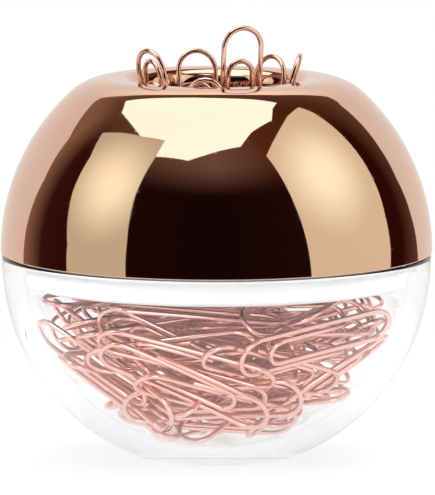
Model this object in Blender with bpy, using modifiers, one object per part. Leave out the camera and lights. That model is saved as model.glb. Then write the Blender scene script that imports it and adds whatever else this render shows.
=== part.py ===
"""Magnetic paper clip holder, in metres: a clear bowl of wire clips under a plated dome.

The origin is the middle of the bowl's flat foot, +Z is up and -Y is the front. The dome lifts off the bowl
along Z, and each clip in the throat lifts out along its own length.
"""

import math

import bpy
import numpy as np
from mathutils import Matrix, Vector

MM = 0.001
GAP = 0.3 * MM  # clearance between pieces that touch
HOLDER_R = 35.0 * MM  # outside radius at the joint between bowl and dome
JOINT_Z = 33.5 * MM  # foot to that joint
RIM_STEP = 0.2 * MM  # how far the bowl's edge stands in from the dome's

# Bowl: a squared ellipse of revolution, cut flat at the foot
BOWL_R = HOLDER_R - RIM_STEP
BOWL_CUT = 1.9 * MM  # depth of the outline that the flat foot cuts off
BOWL_DROP = JOINT_Z + BOWL_CUT
BOWL_POWER = 2.1  # 2 is an ellipse, more is squarer
BOWL_WALL = 3.4 * MM
BOWL_BASE = 2.6 * MM  # thickness over the foot

# Dome: a sphere that turns over a rounded shoulder and a lip into the throat
DOME_R = HOLDER_R
DOME_WALL = 1.8 * MM
SHOULDER_R = 9.7 * MM
THROAT_R = 13.2 * MM
LIP_R = 2.5 * MM
CREST_FLAT = 1.56 * MM  # level width between the lip's round and the shoulder's
CREST_R = THROAT_R + LIP_R + CREST_FLAT
SHOULDER_Z = math.sqrt((DOME_R - SHOULDER_R) ** 2 - CREST_R**2)  # joint to the shoulder's centre
DOME_RISE = SHOULDER_Z + SHOULDER_R  # joint to the crest
THROAT_DEPTH = 11.2 * MM  # crest to the lower end of the throat's tube

# Collar: fixed inside the dome, with a plug that enters the bowl's mouth
COLLAR_WALL = 1.8 * MM
COLLAR_RISE = 6.0 * MM
COLLAR_PLUG = 4.6 * MM
COLLAR_CHAMFER = 0.6 * MM

# Ring magnet and the carrier that holds it round the throat's tube
MAGNET_WIDTH = 4.8 * MM
MAGNET_HEIGHT = 5.0 * MM
CARRIER_WALL = 1.2 * MM
CARRIER_SETBACK = 0.9 * MM  # tube's lower end to the carrier's floor

# Wire clip, measured over the wire
CLIP_LENGTH = 28.0 * MM
CLIP_WIDTH = 7.1 * MM
WIRE = 0.8 * MM
LEG_GAP = 0.1 * MM  # between the two legs that lie side by side
INNER_BEND_R = 2.05 * MM
INNER_SETBACK = 5.4 * MM  # wide bend to the bend nested in it
OUTER_END = 8.0 * MM  # narrow bend to the wire's outer end
INNER_END = 10.0 * MM  # narrow bend to the wire's inner end
WIDE_BEND_STEPS = 4
SMALL_BEND_STEPS = 3
WIRE_BEVEL_STEPS = 1  # gives the wire six sides
WIRE_SHARP_ANGLE = math.radians(70)
WIRE_SAMPLES = 12  # points tested along each straight length in the throat

SHELL_SIDES = 36
RING_SIDES = 28
OUTSIDE_STEPS = 9
INSIDE_STEPS = 8
SPHERE_STEPS = 7
FILLET_STEPS = 4
COLLAR_STEPS = 3
DROPPED_COUNT = 38
PILE_COUNT = 49  # with those that are wedged in between the dropped ones
PILE_CEILING = 5.4 * MM  # joint to the top of the pile
CLIP_GAP = 0.2 * MM  # clearance between clips that touch
PILE_SEED = 11
DROP_TILT = 0.15  # spread of a dropped clip's tilt, in radians
DROP_ROLL = 0.35
DROPS = 8
SHAKES = ((4.0 * MM, 20), (1.5 * MM, 80), (0.4 * MM, 60))  # step and number of tries
WEDGE_TRIES = 420
WEDGE_PUSHES = 40
WEDGE_TILT = 0.15
WEDGE_ROLL = 0.5
WEDGE_LOW = 28.0 * MM  # joint to the lowest middle that a wedged clip starts from
WEDGE_REACH = 0.75  # how far out it may start, as a share of the bowl's radius there
PUSH_SPARE = 0.005 * MM  # clearance that a push aims at beyond the least one
PUSH_SHARE = 1.1  # of the missing clearance that one push makes up
PUSH_TURN = 1.6
PUSH_STEADY = 4.0 * MM  # keeps a push from turning a clip too far
WALL_STEP = 0.1 * MM  # how finely a clip is moved out against the bowl
LIP_STEP = 0.05 * MM  # and against the lip
SHARP_ANGLE = math.radians(35)

# Clips that show against the front of the bowl, in degrees: round from the front, down from the joint's
# plane, the turn of the clip's length from level, its roll about that length, and 1 where the wide bend
# is at the right or -1 where it is at the left
SHOWN_CLIPS = (
    (37, 25, 8, 0, -1),
    (-2, 49, 6, -20, 1),
    (-62, 34, -22, 0, -1),
    (-15, 42, -33, 0, -1),
    (-17, 35, -34, 0, -1),
    (40, 21, -6, -62, 1),
    (56, 46, 46, 0, 1),
    (-12, 70, -8, -25, 1),
)

# Clips in the throat: degrees round from the front, twist from facing straight out, lean outwards, height
# of the top over the crest, and 1 where the wide bend is up or -1 where it is down
THROAT_CLIPS = (
    (-6, 0, 13, 1.3 * MM, -1),
    (24, -4, 6, 9.3 * MM, 1),
    (90, -5, 18, 3.9 * MM, 1),
    (135, -1, 11, 2.8 * MM, 1),
    (195, 2, 11, 3.4 * MM, 1),
    (-56, 6, 12, 5.4 * MM, 1),
    (-74, 12, 10, 3.3 * MM, -1),
)

COLOURS = {
    "clear_bowl": ((0.93, 0.94, 0.95), 0.05, 0.0),
    "copper_plate": ((0.86, 0.53, 0.38), 0.06, 1.0),
    "white_collar": ((0.93, 0.93, 0.92), 0.4, 0.0),
    "magnet_nickel": ((0.55, 0.55, 0.56), 0.3, 1.0),
    "carrier_black": ((0.03, 0.03, 0.03), 0.5, 0.0),
    "clip_copper": ((0.90, 0.60, 0.50), 0.22, 1.0),
}


def clear_scene():
    for obj in list(bpy.data.objects):
        bpy.data.objects.remove(obj, do_unlink=True)


def make_material(name):
    colour, roughness, metallic = COLOURS[name]
    material = bpy.data.materials.new(name)
    material.use_nodes = True
    shader = material.node_tree.nodes["Principled BSDF"]
    shader.inputs["Base Color"].default_value = (*colour, 1.0)
    shader.inputs["Roughness"].default_value = roughness
    shader.inputs["Metallic"].default_value = metallic
    if name == "clear_bowl":
        shader.inputs["Transmission Weight"].default_value = 1.0
        shader.inputs["IOR"].default_value = 1.49
    return material


def arc(centre_x, centre_y, radius, start, end, steps):
    """Points round a circle between two angles in degrees, both ends included."""
    angles = [math.radians(start + (end - start) * i / steps) for i in range(steps + 1)]
    return [
        (centre_x + radius * math.cos(a), centre_y + radius * math.sin(a))
        for a in angles
    ]


def turned(name, profile, sides, closed, material, collection):
    """A solid of revolution from (radius, height) points that run down the outer side."""
    mesh = bpy.data.meshes.new(name)
    count = len(profile)
    edges = [(i, (i + 1) % count) for i in range(count if closed else count - 1)]
    mesh.from_pydata([(r, 0.0, z) for r, z in profile], edges, [])
    obj = bpy.data.objects.new(name, mesh)
    collection.objects.link(obj)
    screw = obj.modifiers.new("Turn", "SCREW")
    screw.steps = sides
    screw.render_steps = sides
    screw.use_merge_vertices = True
    screw.merge_threshold = 0.001 * MM
    obj.data = evaluated_mesh(obj)
    obj.modifiers.clear()
    obj.data.shade_smooth()
    obj.data.set_sharp_from_angle(angle=SHARP_ANGLE)
    obj.data.materials.append(material)
    return obj


def evaluated_mesh(obj):
    graph = bpy.context.evaluated_depsgraph_get()
    mesh = bpy.data.meshes.new_from_object(obj.evaluated_get(graph))
    mesh.name = obj.name
    return mesh


# Bowl


def bowl_curve(radius, drop, low_z, steps):
    """(radius, height) points of the squared ellipse, from the mouth down to the plane low_z under it."""
    last = math.asin((low_z / drop) ** (BOWL_POWER / 2))
    points = []
    for i in range(steps + 1):
        angle = last * i / steps
        points.append(
            (
                radius * math.cos(angle) ** (2 / BOWL_POWER),
                -drop * math.sin(angle) ** (2 / BOWL_POWER),
            )
        )
    return points


def bowl_inner_r(below):
    """Radius of the inner wall at a depth under the joint."""
    share = below / (BOWL_DROP - BOWL_WALL)
    return (BOWL_R - BOWL_WALL) * (1 - share**BOWL_POWER) ** (1 / BOWL_POWER)


def bowl_outside():
    curve = bowl_curve(BOWL_R, BOWL_DROP, JOINT_Z, OUTSIDE_STEPS)
    return [(r, JOINT_Z + z) for r, z in curve]


def bowl_inside():
    """The inner wall from the mouth to the edge of the flat floor."""
    inner_r = BOWL_R - BOWL_WALL
    inner_drop = BOWL_DROP - BOWL_WALL
    curve = bowl_curve(inner_r, inner_drop, JOINT_Z - BOWL_BASE, INSIDE_STEPS)
    return [(r, JOINT_Z + z) for r, z in curve]


def make_bowl(material, collection):
    inside = bowl_inside()
    outside = bowl_outside()
    rim_z = JOINT_Z - GAP
    inside[0] = (inside[0][0], rim_z)
    outside[0] = (outside[0][0], rim_z)
    profile = [(0.0, BOWL_BASE)] + inside[::-1] + outside + [(0.0, 0.0)]
    return turned("bowl", profile, SHELL_SIDES, False, material, collection)


# Dome, collar, magnet and carrier


def dome_skin(depth, rim_z):
    """Down the dome from crest to rim, at a depth under its outer skin."""
    sphere = DOME_R - depth
    turn = math.degrees(math.atan2(SHOULDER_Z, CREST_R))
    fillet = arc(CREST_R, SHOULDER_Z, SHOULDER_R - depth, 90, turn, FILLET_STEPS)
    low = math.degrees(math.asin(rim_z / sphere))
    side = arc(0.0, 0.0, sphere, turn, low, SPHERE_STEPS)
    return [(r, JOINT_Z + z) for r, z in fillet + side[1:]]


def lip_skin(depth):
    """Up the throat's tube and over the lip to the crest, at a depth under the skin."""
    centre_r = THROAT_R + LIP_R
    centre_z = JOINT_Z + DOME_RISE - LIP_R
    fillet = arc(centre_r, centre_z, LIP_R - depth, 180, 90, FILLET_STEPS)
    return [(THROAT_R + depth, tube_end_z())] + fillet


def tube_end_z():
    return JOINT_Z + DOME_RISE - THROAT_DEPTH


def make_dome(material, collection):
    outside = lip_skin(0.0) + dome_skin(0.0, 0.0)
    inside = lip_skin(DOME_WALL) + dome_skin(DOME_WALL, 0.0)
    return turned(
        "dome_shell",
        outside + inside[::-1],
        SHELL_SIDES,
        True,
        material,
        collection,
    )


def make_collar(material, collection):
    """A ring that follows the dome's inner wall, over a plug that fits the bowl's mouth."""
    seat = DOME_R - DOME_WALL - GAP
    plug_r = BOWL_R - BOWL_WALL - GAP
    plug_end_r = bowl_inner_r(COLLAR_PLUG) - GAP
    bore_r = plug_end_r - COLLAR_WALL
    low_z = JOINT_Z - COLLAR_PLUG
    heights = [COLLAR_RISE * i / COLLAR_STEPS for i in range(COLLAR_STEPS, -1, -1)]
    outer = [(math.sqrt(seat**2 - z**2), JOINT_Z + z) for z in heights]
    profile = outer + [
        (plug_r, JOINT_Z),
        (plug_end_r, low_z + COLLAR_CHAMFER),
        (plug_end_r - COLLAR_CHAMFER, low_z),
        (bore_r, low_z),
        (bore_r, JOINT_Z + COLLAR_RISE),
    ]
    return turned("inner_collar", profile, RING_SIDES, True, material, collection)


def carrier_floor_z():
    return tube_end_z() + CARRIER_SETBACK


def magnet_bore_r():
    return THROAT_R + DOME_WALL + 2 * GAP


def make_magnet(material, collection):
    inner = magnet_bore_r()
    outer = inner + MAGNET_WIDTH
    low = carrier_floor_z() + CARRIER_WALL + GAP
    high = low + MAGNET_HEIGHT
    profile = [(outer, high), (outer, low), (inner, low), (inner, high)]
    return turned("ring_magnet", profile, RING_SIDES, True, material, collection)


def make_carrier(material, collection):
    """A tray round the tube, whose wall reaches up to the underside of the dome."""
    bore = THROAT_R + DOME_WALL + GAP
    inner = magnet_bore_r() + MAGNET_WIDTH + GAP
    outer = inner + CARRIER_WALL
    floor = carrier_floor_z()
    reach = SHOULDER_R - DOME_WALL - GAP
    top = JOINT_Z + SHOULDER_Z + math.sqrt(reach**2 - (outer - CREST_R) ** 2)
    profile = [
        (outer, top),
        (outer, floor),
        (bore, floor),
        (bore, floor + CARRIER_WALL),
        (inner, floor + CARRIER_WALL),
        (inner, top),
    ]
    return turned("magnet_carrier", profile, RING_SIDES, True, material, collection)


# Wire clips


def clip_path():
    """Centre line of a clip: X across, Y along from the narrow bend, its length halved at Y 0."""
    leg = (CLIP_WIDTH - WIRE) / 2
    inner_leg = WIRE + LEG_GAP - leg
    low_r = (leg - inner_leg) / 2
    low_x = (leg + inner_leg) / 2
    top_y = CLIP_LENGTH - WIRE / 2 - leg
    low_y = WIRE / 2 + low_r
    inner_x = inner_leg + INNER_BEND_R
    inner_y = CLIP_LENGTH - WIRE / 2 - INNER_SETBACK - INNER_BEND_R
    flat = [(-leg, OUTER_END)]
    flat += arc(0.0, top_y, leg, 180, 0, WIDE_BEND_STEPS)
    flat += arc(low_x, low_y, low_r, 0, -180, SMALL_BEND_STEPS)
    flat += arc(inner_x, inner_y, INNER_BEND_R, 180, 0, SMALL_BEND_STEPS)
    flat += [(inner_x + INNER_BEND_R, INNER_END)]
    return np.array([(x, y - CLIP_LENGTH / 2, 0.0) for x, y in flat])


def make_clip_mesh(path, collection):
    """The wire as one closed mesh, which every clip shares."""
    curve = bpy.data.curves.new("clip_wire", "CURVE")
    curve.dimensions = "3D"
    curve.bevel_depth = WIRE / 2
    curve.bevel_resolution = WIRE_BEVEL_STEPS
    curve.use_fill_caps = True
    spline = curve.splines.new("POLY")
    spline.points.add(len(path) - 1)
    for point, place in zip(spline.points, path):
        point.co = (*place, 1.0)
    guide = bpy.data.objects.new("clip_wire", curve)
    collection.objects.link(guide)
    mesh = evaluated_mesh(guide)
    bpy.data.objects.remove(guide)
    mesh.shade_smooth()
    mesh.set_sharp_from_angle(angle=WIRE_SHARP_ANGLE)
    return mesh


def segment_gaps(first, second):
    """From the nearest point of each other segment to that of each of ours, all as (starts, ends).

    Gives those vectors and our nearest points.
    """
    a0, a1 = first[0][:, None, :], first[1][:, None, :]
    b0, b1 = second[0][None, :, :], second[1][None, :, :]
    along_a, along_b, apart = a1 - a0, b1 - b0, a0 - b0
    aa = (along_a**2).sum(-1)
    bb = (along_b**2).sum(-1)
    ab = (along_a * along_b).sum(-1)
    a_apart = (along_a * apart).sum(-1)
    b_apart = (along_b * apart).sum(-1)
    spread = np.maximum(aa * bb - ab**2, 1e-20)
    s = np.clip((ab * b_apart - a_apart * bb) / spread, 0.0, 1.0)
    t = np.clip((ab * s + b_apart) / bb, 0.0, 1.0)
    s = np.clip((ab * t - a_apart) / aa, 0.0, 1.0)
    ours = a0 + s[..., None] * along_a
    return apart + s[..., None] * along_a - t[..., None] * along_b, ours


class Pile:
    """Clips placed so far, and the tests that keep the next one clear of them and of the walls."""

    def __init__(self, path):
        self.path = path
        self.starts = np.empty((0, 3))
        self.ends = np.empty((0, 3))
        self.poses = []
        profile = np.array(bowl_inside())
        along = profile[1:] - profile[:-1]
        normals = np.stack([along[:, 1], -along[:, 0]], axis=1)
        self.wall_normals = normals / np.linalg.norm(normals, axis=1)[:, None]
        self.wall_points = profile[:-1]

    def points(self, pose):
        turn = np.array(pose.to_3x3())
        return self.path @ turn.T + np.array(pose.translation)

    def wall_rooms(self, points):
        """Distance of each point from each facet of the bowl's wall."""
        across = np.hypot(points[:, 0], points[:, 1]) / math.cos(math.pi / SHELL_SIDES)
        place = np.stack([across, points[:, 2]], axis=1)
        offset = place[:, None, :] - self.wall_points[None]
        return (offset * self.wall_normals[None]).sum(-1)

    def in_bowl(self, points):
        room = min(self.wall_rooms(points).min(), points[:, 2].min() - BOWL_BASE)
        return room >= WIRE / 2 + GAP

    def inward(self, points):
        """How far each point has to move to be clear of the bowl and under the pile's top."""
        margin = WIRE / 2 + GAP + PUSH_SPARE
        rooms = self.wall_rooms(points)
        facet = rooms.argmin(axis=1)
        normals = self.wall_normals[facet] * np.maximum(margin - rooms.min(axis=1), 0.0)[:, None]
        outward = points[:, :2] / np.hypot(points[:, 0], points[:, 1])[:, None]
        lift = np.maximum(BOWL_BASE + margin - points[:, 2], 0.0)
        lower = np.maximum(points[:, 2] - (JOINT_Z - PILE_CEILING - PUSH_SPARE), 0.0)
        return np.column_stack([outward * normals[:, :1], normals[:, 1] + lift - lower])

    def in_throat(self, points):
        """Clear of the tube's wall and of the lip, all along the wire's straight lengths."""
        margin = WIRE / 2 + GAP
        share = np.linspace(0.0, 1.0, WIRE_SAMPLES)[:, None, None]
        wire = (points[:-1] * (1 - share) + points[1:] * share).reshape(-1, 3)
        across = np.hypot(wire[:, 0], wire[:, 1]) / math.cos(math.pi / SHELL_SIDES)
        above = wire[:, 2] - (JOINT_Z + DOME_RISE - LIP_R)
        tube_room = THROAT_R - across
        lip_room = np.hypot(THROAT_R + LIP_R - across, above) - LIP_R
        room = np.where(above < 0, tube_room, lip_room)
        return room.min() >= margin

    def gaps(self, points):
        """Vectors to the clip from the pile's wires near it, the clip's nearest points, and their lengths."""
        least = WIRE + CLIP_GAP
        low, high = points.min(0) - least, points.max(0) + least
        near = (np.maximum(self.starts, self.ends) > low).all(1)
        near &= (np.minimum(self.starts, self.ends) < high).all(1)
        vectors, ours = segment_gaps((points[:-1], points[1:]), (self.starts[near], self.ends[near]))
        return vectors, ours, np.linalg.norm(vectors, axis=-1)

    def clear(self, points):
        """No wire of the pile comes nearer than the clearance."""
        lengths = self.gaps(points)[2]
        return lengths.size == 0 or lengths.min() >= WIRE + CLIP_GAP

    def fits(self, pose):
        points = self.points(pose)
        return self.in_bowl(points) and self.clear(points)

    def add(self, pose):
        points = self.points(pose)
        self.starts = np.vstack([self.starts, points[:-1]])
        self.ends = np.vstack([self.ends, points[1:]])
        self.poses.append(pose)


def turned_pose(place, along, face):
    """A clip's pose from its middle, the direction of its length and the way its flat side faces."""
    along = along.normalized()
    face = (face - along * face.dot(along)).normalized()
    across = along.cross(face)
    pose = Matrix((across, along, face)).transposed().to_4x4()
    pose.translation = place
    return pose


def seat_on_wall(pile, azimuth, below, turn, roll, wide_end):
    """Moves a clip out against the bowl's wall, or against a clip that is in its way."""
    side = math.radians(azimuth)
    down = math.radians(below)
    outward = Vector(
        (
            math.sin(side) * math.cos(down),
            -math.cos(side) * math.cos(down),
            -math.sin(down),
        )
    )
    level = Vector((math.cos(side), math.sin(side), 0.0))
    along = Matrix.Rotation(math.radians(turn), 3, outward) @ level
    face = Matrix.Rotation(math.radians(roll), 3, along) @ outward
    centre = Vector((0.0, 0.0, JOINT_Z))
    reach = BOWL_DROP
    while reach > 0:
        pose = turned_pose(centre + outward * reach, along * wide_end, face)
        if pile.fits(pose):
            pile.add(pose)
            return
        reach -= WALL_STEP


def drop_pose(rng, tilt_spread, roll_spread, reach, below):
    """A clip turned and tilted at random, with its middle up to a reach from the bowl's axis."""
    yaw = rng.uniform(0.0, 2 * math.pi)
    tilt = rng.normal(0.0, tilt_spread)
    roll = rng.normal(0.0, roll_spread)
    side = rng.uniform(0.0, 2 * math.pi)
    out = rng.uniform(0.0, 1.0) ** 0.5 * reach
    along = Vector((math.cos(yaw) * math.cos(tilt), math.sin(yaw) * math.cos(tilt), math.sin(tilt)))
    face = Matrix.Rotation(roll, 3, along) @ Vector((0.0, 0.0, 1.0))
    place = Vector((math.cos(side) * out, math.sin(side) * out, JOINT_Z - below))
    return turned_pose(place, along, face)


def shaken(pose, step, rng):
    """The pose a little lower, and by turns also shifted, or shifted and turned."""
    kind = rng.integers(3)
    shift = Vector((rng.normal(0.0, 0.5, 3) * step * min(kind, 1)).tolist())
    shift.z = -rng.uniform(0.0, step)
    spin = Vector(rng.normal(0.0, 1.0, 3).tolist())
    angle = rng.uniform(0.0, 3.0) * step / CLIP_LENGTH * (kind == 2)
    moved = Matrix.Rotation(angle, 4, spin) @ pose.to_3x3().to_4x4()
    moved.translation = pose.translation + shift
    return moved


def settle(pile, rng):
    """Drops clips from the mouth and shakes them down until one comes to lie under the pile's top."""
    reach = BOWL_R - BOWL_WALL - CLIP_LENGTH / 2
    for _ in range(DROPS):
        pose = drop_pose(rng, DROP_TILT, DROP_ROLL, reach, 0.0)
        if not pile.fits(pose):
            continue
        for step, tries in SHAKES:
            for _ in range(tries):
                moved = shaken(pose, step, rng)
                if pile.fits(moved):
                    pose = moved
        if pile.points(pose)[:, 2].max() <= JOINT_Z - PILE_CEILING:
            pile.add(pose)
            return


def wedge(pile, rng):
    """Puts a clip among the others at random and pushes it clear of them, if there is room."""
    below = rng.uniform(PILE_CEILING, WEDGE_LOW)
    pose = drop_pose(rng, WEDGE_TILT, WEDGE_ROLL, bowl_inner_r(below) * WEDGE_REACH, below)
    least = WIRE + CLIP_GAP + PUSH_SPARE
    for _ in range(WEDGE_PUSHES):
        points = pile.points(pose)
        vectors, ours, lengths = pile.gaps(points)
        short = lengths < least
        away = vectors[short] * (least / lengths[short] - 1)[:, None]
        inward = pile.inward(points)
        out = inward.any(axis=1)
        pushes = np.vstack([away, inward[out]])
        if len(pushes) == 0:
            break
        arms = np.vstack([ours[short], points[out]]) - np.array(pose.translation)
        spin = np.cross(arms, pushes).sum(0) / ((arms**2).sum() + len(arms) * PUSH_STEADY**2)
        turn = Matrix.Rotation(np.linalg.norm(spin) * PUSH_TURN, 4, Vector(spin.tolist()))
        moved = turn @ pose.to_3x3().to_4x4()
        moved.translation = pose.translation + Vector((pushes.mean(0) * PUSH_SHARE).tolist())
        pose = moved
    if pile.fits(pose) and pile.points(pose)[:, 2].max() <= JOINT_Z - PILE_CEILING:
        pile.add(pose)


def stand_in_throat(pile, azimuth, twist, lean, over_crest, wide_end):
    """Moves a standing clip out against the lip, or against a clip that is in its way."""
    side = math.radians(azimuth)
    tilt = math.radians(lean)
    outward = Vector((math.sin(side), -math.cos(side), 0.0))
    up = Vector((0.0, 0.0, 1.0))
    along = up * math.cos(tilt) + outward * math.sin(tilt)
    face = Matrix.Rotation(math.radians(twist), 3, up) @ outward
    middle_z = JOINT_Z + DOME_RISE + over_crest - CLIP_LENGTH / 2 * math.cos(tilt)
    reach = THROAT_R
    while reach > 0:
        place = outward * reach + up * middle_z
        pose = turned_pose(place, along * wide_end, face)
        points = pile.points(pose)
        if pile.in_throat(points) and pile.clear(points):
            pile.add(pose)
            return
        reach -= LIP_STEP


def place_clip(name, mesh, pose, parent, collection):
    obj = bpy.data.objects.new(name, mesh)
    collection.objects.link(obj)
    obj.matrix_world = pose
    obj.parent = parent
    if parent:
        obj.matrix_parent_inverse = parent.matrix_world.inverted()
    return obj


def make_clips(materials, dome_lift, collection):
    path = clip_path()
    mesh = make_clip_mesh(path, collection)
    mesh.materials.append(materials["clip_copper"])
    rng = np.random.default_rng(PILE_SEED)
    bowl_pile = Pile(path)
    for shown in SHOWN_CLIPS:
        seat_on_wall(bowl_pile, *shown)
    for _ in range(DROPPED_COUNT - len(SHOWN_CLIPS)):
        settle(bowl_pile, rng)
    for _ in range(WEDGE_TRIES):
        if len(bowl_pile.poses) < PILE_COUNT:
            wedge(bowl_pile, rng)
    for i, pose in enumerate(bowl_pile.poses, 1):
        place_clip(f"clip_{i:02d}", mesh, pose, None, collection)
    throat = Pile(path)
    for standing in THROAT_CLIPS:
        stand_in_throat(throat, *standing)
    for i, pose in enumerate(throat.poses, 1):
        place_clip(f"throat_clip_{i}", mesh, pose, dome_lift, collection)


def main():
    clear_scene()
    collection = bpy.data.collections.new("paper_clip_holder")
    bpy.context.scene.collection.children.link(collection)
    materials = {name: make_material(name) for name in COLOURS}
    dome_lift = bpy.data.objects.new("dome_lift", None)
    collection.objects.link(dome_lift)
    make_bowl(materials["clear_bowl"], collection)
    lifted = [
        make_dome(materials["copper_plate"], collection),
        make_collar(materials["white_collar"], collection),
        make_magnet(materials["magnet_nickel"], collection),
        make_carrier(materials["carrier_black"], collection),
    ]
    for obj in lifted:
        obj.parent = dome_lift
    make_clips(materials, dome_lift, collection)


main()
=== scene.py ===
import math

import bpy
import numpy as np
from mathutils import Matrix, Vector


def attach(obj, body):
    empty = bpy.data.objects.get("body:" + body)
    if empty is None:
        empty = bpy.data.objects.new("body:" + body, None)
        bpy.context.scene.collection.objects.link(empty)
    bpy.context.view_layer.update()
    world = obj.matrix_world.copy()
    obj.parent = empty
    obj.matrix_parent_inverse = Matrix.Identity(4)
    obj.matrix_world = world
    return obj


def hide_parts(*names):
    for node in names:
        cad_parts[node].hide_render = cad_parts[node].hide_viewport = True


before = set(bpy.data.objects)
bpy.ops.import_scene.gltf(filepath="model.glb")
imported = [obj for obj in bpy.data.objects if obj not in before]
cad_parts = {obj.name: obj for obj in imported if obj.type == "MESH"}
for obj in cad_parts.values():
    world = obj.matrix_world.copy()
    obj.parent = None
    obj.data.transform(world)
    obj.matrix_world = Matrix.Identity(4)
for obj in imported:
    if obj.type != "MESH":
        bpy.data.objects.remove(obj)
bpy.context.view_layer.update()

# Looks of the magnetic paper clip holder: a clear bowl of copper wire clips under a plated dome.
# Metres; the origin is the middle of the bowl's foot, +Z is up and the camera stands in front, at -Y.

MM = 0.001
JOINT_Z = 33.5 * MM
RIM_GAP = 0.3 * MM

BOWL_R = 34.8 * MM
BOWL_DROP = 35.4 * MM
BOWL_POWER = 2.1
BOWL_WALL = 3.4 * MM
BOWL_BASE = 2.6 * MM
BOWL_ROUND = 0.5 * MM

DOME_R = 35.0 * MM
DOME_WALL = 1.8 * MM
DOME_ROUND = 0.12 * MM
SHOULDER_R = 9.7 * MM
CREST_R = 17.26 * MM
THROAT_R = 13.2 * MM
LIP_R = 2.5 * MM
THROAT_DEPTH = 11.2 * MM
SHOULDER_Z = math.sqrt((DOME_R - SHOULDER_R) ** 2 - CREST_R**2)
DOME_RISE = SHOULDER_Z + SHOULDER_R

COLLAR_WALL = 1.8 * MM
COLLAR_RISE = 6.0 * MM
COLLAR_PLUG = 4.6 * MM
COLLAR_CHAMFER = 0.6 * MM

CLIP_LENGTH = 28.0 * MM
CLIP_WIDTH = 7.1 * MM
WIRE = 0.8 * MM
LEG_GAP = 0.1 * MM
INNER_BEND_R = 2.05 * MM
INNER_SETBACK = 5.4 * MM
OUTER_END = 8.0 * MM
INNER_END = 10.0 * MM
WIRE_SIDES = 14
END_BEVEL = 0.12 * MM

TURN_SIDES = 192
PILE_TOP = 24.5 * MM
NEST_SEED = 4
NEST_TRIES = 3000
NEST_WAYS = (("slanting", 0.2), ("rising", 0.2), ("anywhere", 0.6))
NEST_STARTS = 4
NEST_SQUEEZE = 0.2 * MM
SETTLE_SWEEPS = 40
SETTLE_SHARE = 0.5
PUSHES = 14
EARLY_PUSHES = 5
PUSH_SHARE = 1.1
PUSH_TURN = 1.5
PUSH_STEADY = 4.0 * MM
PUSH_SPARE = 0.01 * MM

LENS = 403.6
CAMERA_RISE = 7.9
CAMERA_AWAY = 0.9
PICTURE_HEIGHT = 495


# Turned shells


def drawn_line(points, closed):
    """A line of edges drawn through (radius, height) points in the XZ plane, as the open object in edit mode."""
    bpy.ops.object.select_all(action="DESELECT")
    bpy.ops.mesh.primitive_plane_add(size=MM)
    bpy.ops.object.mode_set(mode="EDIT")
    bpy.ops.mesh.merge(type="CENTER")
    bpy.ops.transform.translate(value=(points[0][0], 0.0, points[0][1]))
    ring = points[1:] + [points[0]] if closed else points[1:]
    for (r0, z0), (r1, z1) in zip(points, ring):
        bpy.ops.mesh.extrude_region_move(TRANSFORM_OT_translate={"value": (r1 - r0, 0.0, z1 - z0)})


def turned(name, points, closed=False, sides=TURN_SIDES):
    """A shell spun once round the Z axis from its drawn outline."""
    drawn_line(points, closed)
    shell = bpy.context.object
    bpy.ops.mesh.select_all(action="SELECT")
    bpy.ops.mesh.remove_doubles(threshold=0.002 * MM)
    bpy.ops.mesh.spin(steps=sides, angle=2 * math.pi, center=(0, 0, 0), axis=(0, 0, 1))
    bpy.ops.mesh.select_all(action="SELECT")
    bpy.ops.mesh.remove_doubles(threshold=0.002 * MM)
    bpy.ops.mesh.normals_make_consistent(inside=False)
    bpy.ops.object.mode_set(mode="OBJECT")
    shell.name = shell.data.name = name
    bpy.ops.object.shade_smooth_by_angle(angle=math.radians(40))
    return shell


def arc(centre_r, centre_z, radius, start, end, steps):
    """(radius, height) points round a circle between two angles in degrees."""
    angles = np.radians(np.linspace(start, end, steps + 1))
    return [(centre_r + radius * math.cos(a), centre_z + radius * math.sin(a)) for a in angles]


def bowl_side(inset, low_z, steps):
    """The bowl's outline from the mouth down to a height, set in from the outside by a wall."""
    radius, drop = BOWL_R - inset, BOWL_DROP - inset
    last = math.asin(((JOINT_Z - low_z) / drop) ** (BOWL_POWER / 2))
    angles = np.linspace(0.0, last, steps + 1)
    power = 2 / BOWL_POWER
    return [(radius * math.cos(a) ** power, JOINT_Z - drop * math.sin(a) ** power) for a in angles]


def make_bowl():
    rim_z = JOINT_Z - RIM_GAP
    outside = [p for p in bowl_side(0.0, 0.0, 44) if p[1] < rim_z - BOWL_ROUND]
    inside = [p for p in bowl_side(BOWL_WALL, BOWL_BASE, 40) if p[1] < rim_z - BOWL_ROUND]
    outer_rim = arc(BOWL_R - BOWL_ROUND, rim_z - BOWL_ROUND, BOWL_ROUND, 90, 0, 5)
    inner_rim = arc(BOWL_R - BOWL_WALL + BOWL_ROUND, rim_z - BOWL_ROUND, BOWL_ROUND, 180, 90, 5)
    foot_r = outside[-1][0]
    foot = arc(foot_r - 2 * BOWL_ROUND, BOWL_ROUND / 2, BOWL_ROUND / 2, -20, -90, 3)
    outline = [(0.0, BOWL_BASE)] + inside[::-1] + inner_rim + outer_rim + outside[:-1] + foot
    return turned("clear_bowl", outline + [(0.0, 0.0)])


def lip_side(depth):
    """Up the throat's tube and over its lip, at a depth under the plated skin."""
    top_z = JOINT_Z + DOME_RISE - LIP_R
    tube = [(THROAT_R + depth, z) for z in np.linspace(JOINT_Z + DOME_RISE - THROAT_DEPTH, top_z, 6)[:-1]]
    return tube + arc(THROAT_R + LIP_R, top_z, LIP_R - depth, 180, 90, 20)


def dome_side(depth):
    """From the crest over the shoulder and down the sphere to the rim, at a depth under the plated skin."""
    turn = math.degrees(math.atan2(SHOULDER_Z, CREST_R))
    shoulder = arc(CREST_R, JOINT_Z + SHOULDER_Z, SHOULDER_R - depth, 90, turn, 24)
    return shoulder + arc(0.0, JOINT_Z, DOME_R - depth, turn, 0, 40)[1:]


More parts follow.
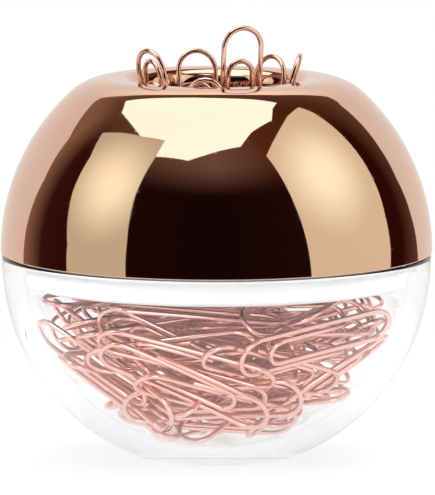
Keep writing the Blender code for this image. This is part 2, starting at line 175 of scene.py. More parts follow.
def make_dome():
    outside = lip_side(0.0) + dome_side(0.0)
    inside = lip_side(DOME_WALL) + dome_side(DOME_WALL)
    low = JOINT_Z + DOME_ROUND
    outside = [p for p in outside if p[1] > low + 0.5 * DOME_ROUND]
    inside = [p for p in inside if p[1] > low + 0.5 * DOME_ROUND]
    rim = [(DOME_R, low + 0.3 * DOME_ROUND)] + arc(DOME_R - DOME_ROUND, low, DOME_ROUND, 0, -90, 4)
    rim += arc(DOME_R - DOME_WALL + DOME_ROUND, low, DOME_ROUND, -90, -180, 4)
    rim += [(DOME_R - DOME_WALL, low + 0.3 * DOME_ROUND)]
    tube_z = JOINT_Z + DOME_RISE - THROAT_DEPTH
    outside[0] = (THROAT_R, tube_z + DOME_ROUND)
    inside[0] = (THROAT_R + DOME_WALL, tube_z + DOME_ROUND)
    end = arc(THROAT_R + DOME_WALL - DOME_ROUND, tube_z + DOME_ROUND, DOME_ROUND, 0, -90, 3)[1:]
    end += arc(THROAT_R + DOME_ROUND, tube_z + DOME_ROUND, DOME_ROUND, -90, -180, 3)[:-1]
    return turned("plated_dome", outside + rim + inside[::-1] + end, closed=True)


def bowl_inner_r(below):
    """Radius of the bowl's inner wall at a depth under the joint."""
    share = below / (BOWL_DROP - BOWL_WALL)
    return (BOWL_R - BOWL_WALL) * (1 - share**BOWL_POWER) ** (1 / BOWL_POWER)


def make_collar():
    seat = DOME_R - DOME_WALL - RIM_GAP
    plug_end_r = bowl_inner_r(COLLAR_PLUG) - RIM_GAP
    bore_r = plug_end_r - COLLAR_WALL
    low_z, top_z = JOINT_Z - COLLAR_PLUG, JOINT_Z + COLLAR_RISE
    outline = [(math.sqrt(seat**2 - z**2), JOINT_Z + z) for z in np.linspace(COLLAR_RISE, 0.0, 9)]
    outline += [(BOWL_R - BOWL_WALL - RIM_GAP, JOINT_Z)]
    outline += [(plug_end_r, low_z + COLLAR_CHAMFER), (plug_end_r - COLLAR_CHAMFER, low_z), (bore_r, low_z)]
    outline += [(bore_r, z) for z in np.linspace(low_z, top_z, 5)[1:]]
    collar = turned("white_collar", outline, closed=True)
    edge = collar.modifiers.new("soft edges", "BEVEL")
    edge.width = 0.2 * MM
    edge.segments = 2
    edge.angle_limit = math.radians(40)
    bpy.ops.object.modifier_apply(modifier=edge.name)
    return collar


# Wire clips


def clip_line(wide_steps, small_steps):
    """Centre line of a clip in the XY plane, Y along its length from the narrow bend, its middle at Y 0."""
    leg = (CLIP_WIDTH - WIRE) / 2
    inner_leg = WIRE + LEG_GAP - leg
    low_r, low_x = (leg - inner_leg) / 2, (leg + inner_leg) / 2
    inner_x = inner_leg + INNER_BEND_R
    line = [(-leg, OUTER_END)]
    line += arc(0.0, CLIP_LENGTH - WIRE / 2 - leg, leg, 180, 0, wide_steps)
    line += arc(low_x, WIRE / 2 + low_r, low_r, 0, -180, small_steps)
    line += arc(inner_x, CLIP_LENGTH - WIRE / 2 - INNER_SETBACK - INNER_BEND_R, INNER_BEND_R, 180, 0, small_steps)
    line += [(inner_x + INNER_BEND_R, INNER_END)]
    return np.array([(x, y - CLIP_LENGTH / 2, 0.0) for x, y in line])


def run_on(x, y, grow=1.0):
    """Extrudes the wire's selected end face along the clip's plane."""
    bpy.ops.mesh.extrude_region_move(TRANSFORM_OT_translate={"value": (x, y, 0.0)})
    if grow != 1.0:
        bpy.ops.transform.resize(value=(grow, grow, grow))


def bend_round(x, y, steps):
    """Spins the wire's selected end face half a turn round a bend's centre."""
    bpy.ops.mesh.spin(steps=steps, angle=math.pi, center=(x, y, 0.0), axis=(0.0, 0.0, 1.0))


def bend_wire():
    """One clip, bent from round wire: its section is run along each leg and spun round each bend."""
    leg = (CLIP_WIDTH - WIRE) / 2
    inner_leg = WIRE + LEG_GAP - leg
    low_r, low_x = (leg - inner_leg) / 2, (leg + inner_leg) / 2
    inner_x = inner_leg + INNER_BEND_R
    middle = CLIP_LENGTH / 2
    start_y = OUTER_END - middle
    top_y = middle - WIRE / 2 - leg
    low_y = WIRE / 2 + low_r - middle
    inner_y = middle - WIRE / 2 - INNER_SETBACK - INNER_BEND_R
    end_y = INNER_END - middle
    blunt = 1 - 2 * END_BEVEL / WIRE
    bpy.ops.object.select_all(action="DESELECT")
    bpy.ops.mesh.primitive_circle_add(
        vertices=WIRE_SIDES,
        radius=WIRE / 2 * blunt,
        fill_type="NGON",
        location=(-leg, start_y, 0.0),
        rotation=(math.radians(90), 0.0, 0.0),
    )
    wire = bpy.context.object
    bpy.ops.object.transform_apply()
    bpy.ops.object.mode_set(mode="EDIT")
    run_on(0.0, END_BEVEL, 1 / blunt)
    run_on(0.0, top_y - start_y - END_BEVEL)
    bend_round(0.0, top_y, 12)
    run_on(0.0, low_y - top_y)
    bend_round(low_x, low_y, 10)
    run_on(0.0, inner_y - low_y)
    bend_round(inner_x, inner_y, 10)
    run_on(0.0, end_y + END_BEVEL - inner_y)
    run_on(0.0, -END_BEVEL, blunt)
    bpy.ops.mesh.select_all(action="SELECT")
    bpy.ops.mesh.remove_doubles(threshold=0.001 * MM)
    bpy.ops.mesh.normals_make_consistent(inside=False)
    bpy.ops.object.mode_set(mode="OBJECT")
    bpy.ops.object.shade_smooth_by_angle(angle=math.radians(50))
    wire.name = wire.data.name = "bent_wire"
    return wire


def best_turn(line, points):
    """The rigid move that takes one set of points nearest to another in the same order, as (turn, shift)."""
    from_middle, to_middle = line.mean(0), points.mean(0)
    u, _, vt = np.linalg.svd((line - from_middle).T @ (points - to_middle))
    keep = np.diag((1.0, 1.0, np.sign(np.linalg.det(vt.T @ u.T))))
    turn = vt.T @ keep @ u.T
    return turn, to_middle - turn @ from_middle


def clip_pose(node):
    """Where a clip of the frame lies, found by fitting the clip's centre line to its wire."""
    line = clip_line(4, 3)
    wire = np.unique(np.round([v.co for v in node.data.vertices], 7), axis=0)
    line_axes = np.linalg.svd(line - line.mean(0))[2]
    wire_axes = np.linalg.svd(wire - wire.mean(0))[2]
    best = None
    hand = np.sign(np.linalg.det(wire_axes) * np.linalg.det(line_axes))
    for along, across in ((1, 1), (1, -1), (-1, 1), (-1, -1)):
        turn = wire_axes.T @ np.diag((along, across, along * across * hand)) @ line_axes
        shift = wire.mean(0) - turn @ line.mean(0)
        for _ in range(8):
            placed = line @ turn.T + shift
            apart = np.linalg.norm(wire[:, None] - placed[None], axis=2)
            nearest = apart.argmin(1)
            used = np.unique(nearest)
            rings = np.array([wire[nearest == i].mean(0) for i in used])
            turn, shift = best_turn(line[used], rings)
        error = abs(apart.min(1) - WIRE / 2).mean()
        if best is None or error < best[0]:
            best = (error, turn, shift)
    pose = Matrix(best[1].tolist()).to_4x4()
    pose.translation = best[2].tolist()
    return pose


def lay_clip(wire, name, pose, body):
    """A copy of the bent wire in its place, riding on a body."""
    clip = bpy.data.objects.new(name, wire.data.copy())
    clip.data.name = name
    clip.data.transform(pose)
    bpy.context.scene.collection.objects.link(clip)
    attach(clip, body)
    return clip


def wire_gaps(first, second):
    """Shortest vectors between two sets of straight wire lengths, with their feet on the first set."""
    a0, a1 = first[0][:, None], first[1][:, None]
    b0, b1 = second[0][None], second[1][None]
    along_a, along_b, apart = a1 - a0, b1 - b0, a0 - b0
    aa, bb = (along_a**2).sum(-1), (along_b**2).sum(-1)
    ab, ad, bd = (along_a * along_b).sum(-1), (along_a * apart).sum(-1), (along_b * apart).sum(-1)
    s = np.clip((ab * bd - ad * bb) / np.maximum(aa * bb - ab**2, 1e-20), 0.0, 1.0)
    t = np.clip((ab * s + bd) / bb, 0.0, 1.0)
    s = np.clip((ab * t - ad) / aa, 0.0, 1.0)
    feet = a0 + s[..., None] * along_a
    return feet - b0 - t[..., None] * along_b, feet


class Heap:
    """The clips in the bowl so far, and the room that they and the bowl's wall leave for another one."""

    def __init__(self):
        self.line = clip_line(6, 4)
        self.lines = np.empty((0, len(self.line), 3))

    def points(self, pose):
        return self.line @ np.array(pose.to_3x3()).T + np.array(pose.translation)

    def add(self, pose):
        self.lines = np.concatenate([self.lines, self.points(pose)[None]])

    def pushes(self, points, own=None):
        """Moves that would clear a clip of the wires, wall, floor and top it runs into, and where they act."""
        least = WIRE + PUSH_SPARE
        low, high = points.min(0) - least, points.max(0) + least
        lines = self.lines if own is None else np.delete(self.lines, own, axis=0)
        starts, ends = lines[:, :-1].reshape(-1, 3), lines[:, 1:].reshape(-1, 3)
        near = (np.maximum(starts, ends) > low).all(1) & (np.minimum(starts, ends) < high).all(1)
        apart, feet = wire_gaps((points[:-1], points[1:]), (starts[near], ends[near]))
        gap = np.sqrt((apart**2).sum(-1))
        short = gap < least
        off_wires = apart[short] * (least / gap[short] - 1)[:, None]
        margin = WIRE / 2 + PUSH_SPARE
        radius, drop = BOWL_R - BOWL_WALL - margin, BOWL_DROP - BOWL_WALL - margin
        below = np.maximum(JOINT_Z - points[:, 2], 0.0)
        full = (np.hypot(points[:, 0], points[:, 1]) / radius) ** BOWL_POWER + (below / drop) ** BOWL_POWER
        inward = np.stack([-points[:, 0] / radius**2, -points[:, 1] / radius**2, below / drop**2], axis=1)
        inward *= (np.maximum(full - 1, 0.0) * radius / BOWL_POWER / np.linalg.norm(inward, axis=1))[:, None]
        inward[:, 2] += np.maximum(BOWL_BASE + margin - points[:, 2], 0.0)
        inward[:, 2] -= np.maximum(points[:, 2] - PILE_TOP, 0.0)
        out = inward.any(axis=1)
        return np.vstack([off_wires, inward[out]]), np.vstack([feet[short], points[out]])


def strewn_pose(rng, way):
    """A clip that slants down across the front, rises from the bottom, or lies anywhere, mostly flat to the wall."""
    near = 0.75
    if way == "slanting":
        side, down, slant = rng.normal(-0.1, 0.5), rng.uniform(0.35, 1.1), rng.normal(-0.5, 0.12)
    elif way == "rising":
        side, down, slant = rng.normal(0.0, 1.0), rng.uniform(0.9, 1.2), rng.normal(1.5, 0.3)
    else:
        side, down, near = rng.uniform(0.0, 2 * math.pi), math.asin(rng.uniform(0.2, 1.0) ** 0.7), 0.3
        slant = rng.normal(0.0, 0.4 + 0.5 * down)
    outward = Vector((math.sin(side) * math.cos(down), -math.cos(side) * math.cos(down), -math.sin(down)))
    level = Vector((math.cos(side), math.sin(side), 0.0))
    along = Matrix.Rotation(slant, 3, outward) @ level * rng.choice((-1, 1))
    face = Matrix.Rotation(rng.normal(0.0, 0.5), 3, along) @ outward
    across = along.cross(face)
    pose = Matrix((across, along, face)).transposed().to_4x4()
    pose.translation = outward * (BOWL_R * rng.uniform(near, 1.0)) + Vector((0.0, 0.0, JOINT_Z))
    return pose


def push(heap, pose, share, own=None):
    """How far a clip runs into what is round it, and its pose once that has pushed it a share of the way out."""
    moves, feet = heap.pushes(heap.points(pose), own)
    if len(moves) == 0:
        return 0.0, pose
    arms = feet - np.array(pose.translation)
    spin = np.cross(arms, moves).sum(0) / ((arms**2).sum() + len(arms) * PUSH_STEADY**2)
    turn = Matrix.Rotation(PUSH_TURN * share * np.linalg.norm(spin), 4, Vector(spin.tolist()))
    moved = turn @ pose.to_3x3().to_4x4()
    moved.translation = pose.translation + Vector((share * moves.mean(0)).tolist())
    return np.linalg.norm(moves, axis=1).max(), moved


def nested_pose(heap, rng, way):
    """The roomiest place that pushing finds for another clip, as (how far it still runs into others, pose)."""
    starts = [strewn_pose(rng, way) for _ in range(NEST_STARTS)]
    pose = min(starts, key=lambda start: len(heap.pushes(heap.points(start))[0]))
    best = (math.inf, pose)
    for step in range(PUSHES):
        depth, moved = push(heap, pose, PUSH_SHARE)
        if depth < best[0]:
            best = (depth, pose)
        if depth == 0.0 or step == EARLY_PUSHES and best[0] > 3 * NEST_SQUEEZE:
            break
        pose = moved
    return best


def make_clips():
    """A fine clip for each of the frame's, and more nested between those of the bowl."""
    wire = bend_wire()
    heap = Heap()
    made = []
    for name in sorted(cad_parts):
        if "clip_" not in name:
            continue
        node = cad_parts[name]
        pose = clip_pose(node)
        standing = name.startswith("throat")
        clip = lay_clip(wire, ("standing_" if standing else "lying_") + name, pose, name if standing else "bowl")
        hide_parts(name)
        made.append(clip)
        if not standing:
            heap.add(pose)
    rng = np.random.default_rng(NEST_SEED)
    first = len(heap.lines)
    nested = []
    for way, share in NEST_WAYS:
        for _ in range(int(share * NEST_TRIES)):
            depth, pose = nested_pose(heap, rng, way)
            if depth < NEST_SQUEEZE:
                heap.add(pose)
                nested.append(pose)
    for _ in range(SETTLE_SWEEPS):
        for i, pose in enumerate(nested):
            nested[i] = push(heap, pose, SETTLE_SHARE, first + i)[1]
            heap.lines[first + i] = heap.points(nested[i])
    made += [lay_clip(wire, f"nested_clip_{i:02d}", pose, "bowl") for i, pose in enumerate(nested, 1)]
    bpy.data.objects.remove(wire)
    return made


# Materials


def group(name, inputs, outputs):
    """An empty node group with its sockets, as (tree, input node, output node)."""
    tree = bpy.data.node_groups.new(name, "ShaderNodeTree")
    for label, kind, value in inputs:
        tree.interface.new_socket(label, in_out="INPUT", socket_type=kind).default_value = value
    for label, kind in outputs:
        tree.interface.new_socket(label, in_out="OUTPUT", socket_type=kind)
    return tree, tree.nodes.new("NodeGroupInput"), tree.nodes.new("NodeGroupOutput")


def put(tree, kind, values=None, **settings):
    """A node in a tree, its settings made and its sockets given numbers, colours or links."""
    node = tree.nodes.new(kind)
    for key, value in settings.items():
        setattr(node, key, value)
    for key, value in (values or {}).items():
        if isinstance(value, bpy.types.NodeSocket):
            tree.links.new(value, node.inputs[key])
        else:
            node.inputs[key].default_value = value
    return node


def wear_group():
    """Handling marks: soft smudges and fine crossed hairlines, as masks from 0 to 1."""
    inputs = [("Smudge Size", "NodeSocketFloat", 90.0), ("Hairline Size", "NodeSocketFloat", 900.0)]
    outputs = [("Smudges", "NodeSocketFloat"), ("Hairlines", "NodeSocketFloat")]
    tree, given, out = group("handling_marks", inputs, outputs)
    place = put(tree, "ShaderNodeTexCoord").outputs["Object"]
    patch = put(tree, "ShaderNodeTexNoise", {"Vector": place, "Scale": given.outputs["Smudge Size"], "Detail": 4.0})
    soft = put(tree, "ShaderNodeMapRange", {"Value": patch.outputs["Fac"], "From Min": 0.45, "From Max": 0.75})
    tree.links.new(soft.outputs["Result"], out.inputs["Smudges"])
    lines = None
    for turn in (0.3, 1.4, 2.3):
        values = {"Vector": place, "Rotation": (turn, 2 * turn, turn), "Scale": (1.0, 0.03, 1.0)}
        view = put(tree, "ShaderNodeMapping", values)
        values = {"Vector": view.outputs["Vector"], "Scale": given.outputs["Hairline Size"], "Detail": 2.0}
        fine = put(tree, "ShaderNodeTexNoise", values)
        thin = put(tree, "ShaderNodeMapRange", {"Value": fine.outputs["Fac"], "From Min": 0.66, "From Max": 0.74})
        if lines is None:
            lines = thin.outputs["Result"]
        else:
            lines = put(tree, "ShaderNodeMath", {0: lines, 1: thin.outputs["Result"]}, operation="MAXIMUM").outputs[0]
    tree.links.new(lines, out.inputs["Hairlines"])
    return tree


def ripple_group():
    """The faint unevenness of a moulded face: slow waves with a finer grain, as a height from 0 to 1."""
    inputs = [
        ("Wave Size", "NodeSocketFloat", 120.0),
        ("Grain Size", "NodeSocketFloat", 2500.0),
        ("Grain", "NodeSocketFloat", 0.05),
    ]
    tree, given, out = group("moulded_ripple", inputs, [("Height", "NodeSocketFloat")])
    place = put(tree, "ShaderNodeTexCoord").outputs["Object"]
    wave = put(tree, "ShaderNodeTexNoise", {"Vector": place, "Scale": given.outputs["Wave Size"], "Detail": 1.0})
    grain = put(tree, "ShaderNodeTexNoise", {"Vector": place, "Scale": given.outputs["Grain Size"], "Detail": 2.0})
    mixed = put(tree, "ShaderNodeMix", {0: given.outputs["Grain"], 2: wave.outputs["Fac"], 3: grain.outputs["Fac"]})
    tree.links.new(mixed.outputs[0], out.inputs["Height"])
    return tree


def tone_group():
    """Two tones of a finish in slow drifting patches."""
    inputs = [
        ("Tone A", "NodeSocketColor", (1, 1, 1, 1)),
        ("Tone B", "NodeSocketColor", (1, 1, 1, 1)),
        ("Patch Size", "NodeSocketFloat", 60.0),
    ]
    tree, given, out = group("drifting_tone", inputs, [("Color", "NodeSocketColor")])
    place = put(tree, "ShaderNodeTexCoord").outputs["Object"]
    patch = put(tree, "ShaderNodeTexNoise", {"Vector": place, "Scale": given.outputs["Patch Size"], "Detail": 3.0})
    mask = put(tree, "ShaderNodeMapRange", {"Value": patch.outputs["Fac"], "From Min": 0.35, "From Max": 0.65})
    mixed = put(tree, "ShaderNodeMix", {0: mask.outputs["Result"]}, data_type="RGBA")
    tree.links.new(given.outputs["Tone A"], mixed.inputs[6])
    tree.links.new(given.outputs["Tone B"], mixed.inputs[7])
    tree.links.new(mixed.outputs[2], out.inputs["Color"])
    return tree


def use(tree, kind, values):
    """One of the shared effects placed in a material."""
    node = tree.nodes.new("ShaderNodeGroup")
    node.node_tree = bpy.data.node_groups[kind]
    for key, value in values.items():
        node.inputs[key].default_value = value
    return node.outputs


def roughness_from(tree, base, smudges, hairlines, marks):
    """Roughness that rises from its clean value where the surface was handled or scratched."""
    soft = put(tree, "ShaderNodeMath", {0: marks["Smudges"], 1: smudges, 2: base}, operation="MULTIPLY_ADD")
    values = {0: marks["Hairlines"], 1: hairlines, 2: soft.outputs[0]}
    return put(tree, "ShaderNodeMath", values, operation="MULTIPLY_ADD").outputs[0]


def finish_of(name, tones, base_roughness, smudges, hairlines, patch=60.0, wave=120.0, grain_size=2500.0,
              grain=0.05, bump=0.02 * MM, smudge_size=90.0, metallic=0.0):
    """A material with drifting tone, handling marks in its roughness and a moulded ripple in its surface."""
    material = bpy.data.materials.new(name)
    material.use_nodes = True
    tree = material.node_tree
    shader = tree.nodes["Principled BSDF"]
    shader.inputs["Metallic"].default_value = metallic
    tone = use(tree, "drifting_tone", {"Tone A": (*tones[0], 1.0), "Tone B": (*tones[1], 1.0), "Patch Size": patch})
    tree.links.new(tone["Color"], shader.inputs["Base Color"])
    marks = use(tree, "handling_marks", {"Smudge Size": smudge_size})
    tree.links.new(roughness_from(tree, base_roughness, smudges, hairlines, marks), shader.inputs["Roughness"])
    height = use(tree, "moulded_ripple", {"Wave Size": wave, "Grain Size": grain_size, "Grain": grain})["Height"]
    relief = put(tree, "ShaderNodeBump", {"Strength": 1.0, "Distance": bump, "Height": height})
    tree.links.new(relief.outputs["Normal"], shader.inputs["Normal"])
    return material


def make_materials():
    wear_group()
    ripple_group()
    tone_group()
    plate = finish_of(
        "copper_plate", ((0.75, 0.515, 0.41), (0.73, 0.49, 0.385)), 0.025, 0.03, 0.05,
        patch=35.0, wave=60.0, grain=0.002, bump=0.01 * MM, metallic=1.0,
    )
    copper = finish_of(
        "clip_copper", ((0.97, 0.60, 0.52), (0.94, 0.54, 0.46)), 0.14, 0.06, 0.05,
        patch=45.0, wave=150.0, grain=0.01, bump=0.004 * MM, metallic=1.0,
    )
    white = finish_of(
        "collar_white", ((0.95, 0.95, 0.945), (0.93, 0.93, 0.925)), 0.34, 0.12, 0.05,
        wave=300.0, grain=0.3, bump=0.02 * MM,
    )
    nickel = finish_of(
        "magnet_nickel", ((0.62, 0.60, 0.57), (0.55, 0.535, 0.51)), 0.22, 0.16, 0.12,
        wave=500.0, grain=0.3, bump=0.03 * MM, metallic=1.0,
    )
    black = finish_of(
        "carrier_black", ((0.022, 0.022, 0.024), (0.03, 0.03, 0.031)), 0.42, 0.12, 0.05,
        wave=800.0, grain=0.5, bump=0.06 * MM,
    )
    clear = finish_of(
        "bowl_clear", ((0.985, 0.985, 0.985), (0.975, 0.978, 0.98)), 0.0, 0.015, 0.03,
        patch=20.0, wave=45.0, grain=0.001, bump=0.02 * MM,
    )
    shader = clear.node_tree.nodes["Principled BSDF"]
    shader.inputs["Transmission Weight"].default_value = 1.0
    shader.inputs["IOR"].default_value = 1.49
    return {"plate": plate, "copper": copper, "white": white, "nickel": nickel, "black": black, "clear": clear}


# Studio


def any_of(tree, path, names):
    """1 where the ray is any of these kinds."""
    total = path.outputs[names[0]]
    for name in names[1:]:
        total = put(tree, "ShaderNodeMath", {0: total, 1: path.outputs[name]}, operation="MAXIMUM").outputs[0]
    return total


def make_world():
    """White behind everything that is seen, reflected or seen through, and softer as light."""
    world = bpy.data.worlds.new("studio")
    bpy.context.scene.world = world
    world.use_nodes = True
    tree = world.node_tree
    path = put(tree, "ShaderNodeLightPath")
    seen = any_of(tree, path, ("Is Camera Ray", "Is Glossy Ray", "Is Transmission Ray"))
    strength = put(tree, "ShaderNodeMapRange", {"Value": seen, "To Min": 0.85, "To Max": 1.0})
    tree.links.new(strength.outputs["Result"], tree.nodes["Background"].inputs["Strength"])
    tree.nodes["Background"].inputs["Color"].default_value = (1.0, 1.0, 1.0, 1.0)


def make_floor():
    """A pale floor that keeps a soft shadow and runs out into the white background."""
    bpy.ops.object.select_all(action="DESELECT")
    bpy.ops.mesh.primitive_circle_add(vertices=96, radius=0.2, fill_type="NGON", location=(0.0, 0.0, -0.05 * MM))
    floor = bpy.context.object
    floor.name = "floor"
    material = bpy.data.materials.new("pale_floor")
    material.use_nodes = True
    tree = material.node_tree
    shader = tree.nodes["Principled BSDF"]
    shader.inputs["Base Color"].default_value = (0.9, 0.9, 0.9, 1.0)
    shader.inputs["Roughness"].default_value = 0.7
    path = put(tree, "ShaderNodeLightPath")
    seen = any_of(tree, path, ("Is Camera Ray", "Is Glossy Ray", "Is Transmission Ray"))
    place = put(tree, "ShaderNodeTexCoord").outputs["Object"]
    out = put(tree, "ShaderNodeVectorMath", {0: place}, operation="LENGTH").outputs["Value"]
    values = {"Value": out, "From Min": 0.05, "From Max": 0.13, "To Min": 0.75, "To Max": 1.0}
    run_out = put(tree, "ShaderNodeMapRange", values, interpolation_type="SMOOTHSTEP")
    share = put(tree, "ShaderNodeMath", {0: seen, 1: run_out.outputs["Result"]}, operation="MULTIPLY")
    white = put(tree, "ShaderNodeEmission", {"Color": (1.0, 1.0, 1.0, 1.0), "Strength": 1.0})
    values = {0: share.outputs[0], 1: shader.outputs["BSDF"], 2: white.outputs["Emission"]}
    mixed = put(tree, "ShaderNodeMixShader", values)
    tree.links.new(mixed.outputs[0], tree.nodes["Material Output"].inputs["Surface"])
    floor.data.materials.append(material)


def direction(side, rise):
    """The direction from the dome's middle at an azimuth and an elevation in degrees."""
    a, e = math.radians(side), math.radians(rise)
    return Vector((math.sin(a) * math.cos(e), -math.cos(a) * math.cos(e), math.sin(e)))


def only_reflected(obj, colour, through):
    """Makes a studio surface glow in reflections alone, and evenly in those seen through the clear bowl."""
    material = bpy.data.materials.new(obj.name)
    material.use_nodes = True
    tree = material.node_tree
    tree.nodes.remove(tree.nodes["Principled BSDF"])
    path = put(tree, "ShaderNodeLightPath")
    passed = put(tree, "ShaderNodeMath", {0: path.outputs["Transmission Depth"], 1: 1.0}, operation="MINIMUM")
    tone = put(tree, "ShaderNodeMix", {0: passed.outputs[0], 6: colour(tree), 7: (*through, 1.0)}, data_type="RGBA")
    glow = put(tree, "ShaderNodeEmission", {"Color": tone.outputs[2], "Strength": 1.0})
    reflected = put(tree, "ShaderNodeMath", {0: path.outputs["Glossy Depth"], 1: 1.0}, operation="MINIMUM")
    clear = put(tree, "ShaderNodeBsdfTransparent")
    mixed = put(tree, "ShaderNodeMixShader", {0: reflected.outputs[0], 1: clear.outputs[0], 2: glow.outputs[0]})
    tree.links.new(mixed.outputs[0], tree.nodes["Material Output"].inputs["Surface"])
    material.cycles.emission_sampling = "NONE"
    obj.data.materials.append(material)
    obj.visible_camera = obj.visible_shadow = obj.visible_diffuse = False


def card(name, corners, reach, colour, glow, middle):
    """A studio card with corners at (azimuth, elevation), and another colour round one place on it."""
    mesh = bpy.data.meshes.new(name)
    centre = Vector((0.0, 0.0, JOINT_Z))
    mesh.from_pydata([centre + reach * direction(*corner) for corner in corners], [], [range(len(corners))])
    obj = bpy.data.objects.new(name, mesh)
    bpy.context.scene.collection.objects.link(obj)

    def shaded(tree):
        place = put(tree, "ShaderNodeTexCoord").outputs["Object"]
        bright = centre + reach * direction(*middle)
        away = put(tree, "ShaderNodeVectorMath", {0: place, 1: bright}, operation="DISTANCE")
        values = {"Value": away.outputs["Value"], "From Min": 0.0, "From Max": 0.5 * reach}
        fall = put(tree, "ShaderNodeMapRange", values, interpolation_type="SMOOTHSTEP")
        values = {0: fall.outputs["Result"], 6: (*glow, 1.0), 7: (*colour, 1.0)}
        return put(tree, "ShaderNodeMix", values, data_type="RGBA").outputs[2]

    only_reflected(obj, shaded, (1.0, 1.0, 1.0))


def ramp(tree, factor, stops):
    """A colour ramp over a whole turn, its stops at azimuths in degrees."""
    node = put(tree, "ShaderNodeValToRGB", {"Fac": factor})
    marks = node.color_ramp.elements
    while len(marks) < len(stops):
        marks.new(0.5)
    for mark, (degrees, colour) in zip(marks, stops):
        mark.position = (degrees + 180) / 360
        mark.color = (*colour, 1.0)
    return node.outputs["Color"]


def room_tone(tree):
    """Almost black low in front, reddish brown under the ceiling, and paler brown towards the backdrop."""
    place = put(tree, "ShaderNodeTexCoord").outputs["Object"]
    ray = put(tree, "ShaderNodeVectorMath", {0: place, 1: (0.0, 0.0, JOINT_Z)}, operation="SUBTRACT").outputs[0]
    ray = put(tree, "ShaderNodeVectorMath", {0: ray}, operation="NORMALIZE").outputs[0]
    x, y, z = put(tree, "ShaderNodeSeparateXYZ", {0: ray}).outputs
    front = put(tree, "ShaderNodeMath", {0: y, 1: -1.0}, operation="MULTIPLY").outputs[0]
    turn = put(tree, "ShaderNodeMath", {0: x, 1: front}, operation="ARCTAN2").outputs[0]
    turn = put(tree, "ShaderNodeMapRange", {"Value": turn, "From Min": -math.pi, "From Max": math.pi}).outputs[0]
    rise = put(tree, "ShaderNodeMath", {0: z}, operation="ARCSINE").outputs[0]
    values = {"Value": rise, "From Min": 0.6, "From Max": 0.95}
    high = put(tree, "ShaderNodeMapRange", values, interpolation_type="SMOOTHSTEP")
    low_stops = (
        (-180, (0.27, 0.17, 0.12)),
        (-122, (0.30, 0.17, 0.11)),
        (-106, (0.045, 0.010, 0.008)),
        (-90, (0.038, 0.006, 0.005)),
        (-45, (0.014, 0.004, 0.004)),
        (0, (0.010, 0.003, 0.003)),
        (45, (0.016, 0.005, 0.005)),
        (116, (0.035, 0.004, 0.003)),
        (128, (0.11, 0.045, 0.028)),
        (140, (0.17, 0.08, 0.05)),
    )
    high_stops = (
        (-180, (0.13, 0.065, 0.045)),
        (-110, (0.13, 0.06, 0.035)),
        (-40, (0.15, 0.08, 0.05)),
        (0, (0.19, 0.11, 0.09)),
        (45, (0.11, 0.035, 0.014)),
        (110, (0.085, 0.026, 0.010)),
        (180, (0.13, 0.065, 0.045)),
    )
    values = {0: high.outputs[0], 6: ramp(tree, turn, low_stops), 7: ramp(tree, turn, high_stops)}
    return put(tree, "ShaderNodeMix", values, data_type="RGBA").outputs[2]


def make_room():
    """The dark room round the set, spun from a quarter circle that reaches a little under the horizon."""
    drawn_line(arc(0.0, JOINT_Z, 1.6, -11, 90, 20), False)
    bpy.ops.mesh.select_all(action="SELECT")
    bpy.ops.mesh.spin(steps=64, angle=2 * math.pi, center=(0, 0, 0), axis=(0, 0, 1))
    bpy.ops.object.mode_set(mode="OBJECT")
    room = bpy.context.object
    room.name = "dark_room"
    only_reflected(room, room_tone, (0.62, 0.35, 0.31))


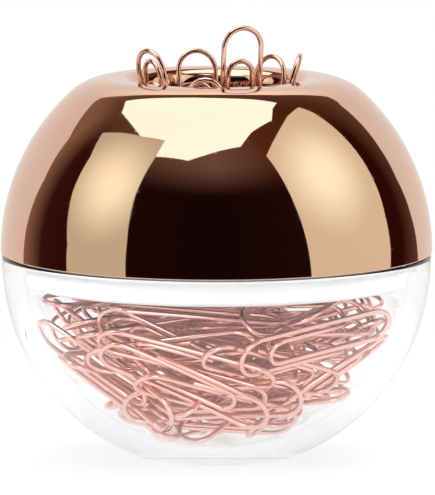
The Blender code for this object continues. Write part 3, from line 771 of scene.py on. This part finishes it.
def make_studio():
    """Softboxes and a backdrop for the dome to reflect in its dark room, and lamps in the softboxes' places."""
    left = (
        (-85, -11), (-48, -11), (-48, 9), (-50, 32), (-50, 52), (-53, 61), (-74, 57), (-93, 51), (-105, 44), (-96, 36),
        (-92, 22), (-85, 3),
    )
    right = (
        (51, -11), (49, 5), (46, 28), (42, 54), (55, 59), (73, 62), (96, 62), (115, 57), (115, 51), (110, 36),
        (107, 25), (104, 9), (104, -11),
    )
    top = (
        (-138, 51), (-114, 52), (-50, 52), (-23, 54), (-10, 58), (5, 61), (24, 62), (44, 68), (80, 67),
        (98, 68), (134, 64), (162, 63), (-170, 59), (-154, 56),
    )
    backdrop = (
        (136, -11), (160, -11), (180, -11), (-160, -11), (-124, -11), (-122, 3), (-120, 16), (-124, 29),
        (-147, 37), (-153, 44), (-167, 48), (179, 48), (164, 48), (150, 38), (137, 35), (130, 21), (128, 13), (130, 3),
    )
    card("left_softbox", left, 1.05, (0.72, 0.70, 0.54), (1.50, 1.64, 1.34), (-69, 32))
    card("right_softbox", right, 1.05, (0.93, 0.88, 0.70), (1.55, 1.80, 1.50), (74, 35))
    card("top_softbox", top, 1.15, (1.40, 1.84, 1.74), (1.40, 1.84, 1.74), (0, 90))
    card("backdrop", backdrop, 1.5, (0.90, 0.83, 0.78), (1.42, 1.24, 1.04), (180, 46))
    make_room()
    lamps = (
        ("left_lamp", -65, 32, 0.6, 7.0),
        ("right_lamp", 78, 30, 0.6, 6.0),
        ("top_lamp", 160, 72, 0.7, 9.0),
        ("front_lamp", 5, 6, 0.5, 1.9),
    )
    for name, side, rise, size, energy in lamps:
        out = direction(side, rise)
        turn = out.to_track_quat("Z", "Y").to_euler()
        bpy.ops.object.light_add(type="AREA", location=out + Vector((0, 0, JOINT_Z)), rotation=turn)
        lamp = bpy.context.object
        lamp.name = name
        lamp.data.size = size
        lamp.data.energy = energy
        lamp.visible_glossy = lamp.visible_camera = False


def make_camera():
    """From the front and a little above, with the photograph's long lens."""
    rise = math.radians(CAMERA_RISE)
    back = Vector((0.0, -math.cos(rise), math.sin(rise)))
    bpy.ops.object.camera_add(location=Vector((0, 0, JOINT_Z)) + CAMERA_AWAY * back)
    camera = bpy.context.object
    camera.rotation_mode = "QUATERNION"
    camera.rotation_quaternion = back.to_track_quat("Z", "Y")
    camera.data.sensor_width = 36.0
    camera.data.lens = LENS
    camera.data.shift_x = 1.0 / PICTURE_HEIGHT
    camera.data.shift_y = 2.5 / PICTURE_HEIGHT
    bpy.context.scene.camera = camera


def finish_piece(piece, material, body, node):
    piece.data.materials.clear()
    piece.data.materials.append(material)
    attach(piece, body)
    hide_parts(node)


materials = make_materials()
bowl = make_bowl()
bowl.visible_shadow = False  # the lamps light the collar and the clips through it
finish_piece(bowl, materials["clear"], "bowl", "bowl")
finish_piece(make_dome(), materials["plate"], "dome", "dome_shell")
finish_piece(make_collar(), materials["white"], "dome", "inner_collar")
for clip in make_clips():
    clip.data.materials.clear()
    clip.data.materials.append(materials["copper"])
for node, material in (("ring_magnet", "nickel"), ("magnet_carrier", "black")):
    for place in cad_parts[node].material_slots:
        place.material = materials[material]
make_world()
make_floor()
make_studio()
make_camera()
bpy.context.scene.view_settings.view_transform = "Standard"
